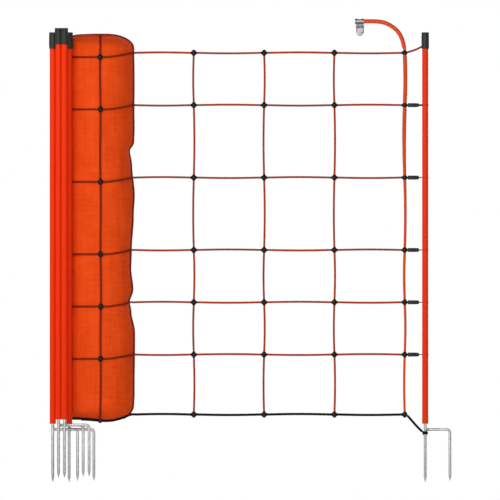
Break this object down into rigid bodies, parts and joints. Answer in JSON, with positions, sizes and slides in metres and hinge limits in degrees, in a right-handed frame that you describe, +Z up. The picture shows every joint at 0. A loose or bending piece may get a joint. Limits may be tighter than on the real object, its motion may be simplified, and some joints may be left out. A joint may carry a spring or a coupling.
{
  "type": "electric poultry netting",
  "caption": "Electric poultry netting, part unrolled: a wound roll with stored posts, open knotted net panels, an end post in its ties and a lead with a sprung clip.",
  "frame": {"origin": "on the wound roll's axis at ground level, where the post spikes enter the soil", "axes": "+Z up along the posts, +X along the open net from the roll to the end post, +Y out of the back of the net"},
  "size_m": [1.0004, 0.1786, 1.1523],
  "materials": {
    "post": "gloss",
    "cap": "satin",
    "spike": "satin",
    "wound_net": "matte",
    "net_twine": "matte",
    "bottom_twine": "matte",
    "lead": "satin",
    "tie": "satin",
    "clip": "satin"
  },
  "bodies": {
    "net_roll": {"net_roll": "wound_net", "stored_post_1_tube": "post", "stored_post_1_cap": "cap", "stored_post_1_spike": "spike", "stored_post_2_tube": "post", "stored_post_2_cap": "cap", "stored_post_2_spike": "spike"},
    "stored_post_3": {"stored_post_3_tube": "post", "stored_post_3_cap": "cap", "stored_post_3_spike": "spike"},
    "stored_post_4": {"stored_post_4_tube": "post", "stored_post_4_cap": "cap", "stored_post_4_spike": "spike"},
    "net_panel_1": {"net_row_1_panel_1": "bottom_twine", "net_row_2_panel_1": "net_twine", "net_row_3_panel_1": "net_twine", "net_row_4_panel_1": "net_twine", "net_row_5_panel_1": "net_twine", "net_row_6_panel_1": "net_twine", "net_row_7_panel_1": "net_twine", "net_column_1": "net_twine"},
    "net_panel_2": {"net_row_1_panel_2": "bottom_twine", "net_row_2_panel_2": "net_twine", "net_row_3_panel_2": "net_twine", "net_row_4_panel_2": "net_twine", "net_row_5_panel_2": "net_twine", "net_row_6_panel_2": "net_twine", "net_row_7_panel_2": "net_twine", "net_column_2": "net_twine"},
    "net_panel_3": {"net_row_1_panel_3": "bottom_twine", "net_row_2_panel_3": "net_twine", "net_row_3_panel_3": "net_twine", "net_row_4_panel_3": "net_twine", "net_row_5_panel_3": "net_twine", "net_row_6_panel_3": "net_twine", "net_row_7_panel_3": "net_twine", "net_column_3": "net_twine"},
    "net_panel_4": {"net_row_1_panel_4": "bottom_twine", "net_row_2_panel_4": "net_twine", "net_row_3_panel_4": "net_twine", "net_row_4_panel_4": "net_twine", "net_row_5_panel_4": "net_twine", "net_row_6_panel_4": "net_twine", "net_row_7_panel_4": "net_twine", "feeder_twine": "lead", "lead_cable": "lead", "clip_body": "clip", "clip_pin": "clip"},
    "clip_jaw": {"clip_jaw": "clip", "clip_spring": "clip"},
    "post_ties": {"post_tie_1": "tie", "post_tie_2": "tie", "post_tie_3": "tie", "post_tie_4": "tie", "post_tie_5": "tie", "top_tie": "net_twine", "bottom_tie": "bottom_twine", "end_post_cap": "cap"},
    "end_post": {"end_post_tube": "post", "end_post_spike": "spike"}
  },
  "joints": [
    {"name": "net_gather", "type": "hinge", "parent": "net_roll", "child": "net_panel_1", "pos_m": [0.0857, 0, 0], "axis": [0, 0, 1], "range_deg": [-60, 60]},
    {"name": "net_fold_1", "type": "hinge", "parent": "net_panel_1", "child": "net_panel_2", "pos_m": [0.2332, 0, 0], "axis": [0, 0, 1], "range_deg": [-60, 60]},
    {"name": "net_fold_2", "type": "hinge", "parent": "net_panel_2", "child": "net_panel_3", "pos_m": [0.408, 0, 0], "axis": [0, 0, 1], "range_deg": [-60, 60]},
    {"name": "net_fold_3", "type": "hinge", "parent": "net_panel_3", "child": "net_panel_4", "pos_m": [0.5828, 0, 0], "axis": [0, 0, 1], "range_deg": [-60, 60]},
    {"name": "post_swing", "type": "hinge", "parent": "net_panel_4", "child": "post_ties", "pos_m": [0.7576, 0, 0], "axis": [0, 0, 1], "range_deg": [-110, 110]},
    {"name": "post_turn", "type": "hinge", "parent": "post_ties", "child": "end_post", "pos_m": [0.8085, 0, 0], "axis": [0, 0, 1], "range_deg": [-90, 90]},
    {"name": "stored_post_3_turn", "type": "hinge", "parent": "net_roll", "child": "stored_post_3", "pos_m": [-0.0885, -0.08586, 0], "axis": [0, 0, 1], "range_deg": [-170, 0]},
    {"name": "stored_post_4_turn", "type": "hinge", "parent": "net_roll", "child": "stored_post_4", "pos_m": [-0.0766, -0.05283, 0], "axis": [0, 0, 1], "range_deg": [0, 150]},
    {"name": "clip_jaw_open", "type": "hinge", "parent": "net_panel_4", "child": "clip_jaw", "pos_m": [0.64635, -0.0026, 1.008], "axis": [-1, 0, 0], "range_deg": [0, 25], "stiffness_Nm_per_rad": 0.06, "springref_deg": -20.05}
  ]
}
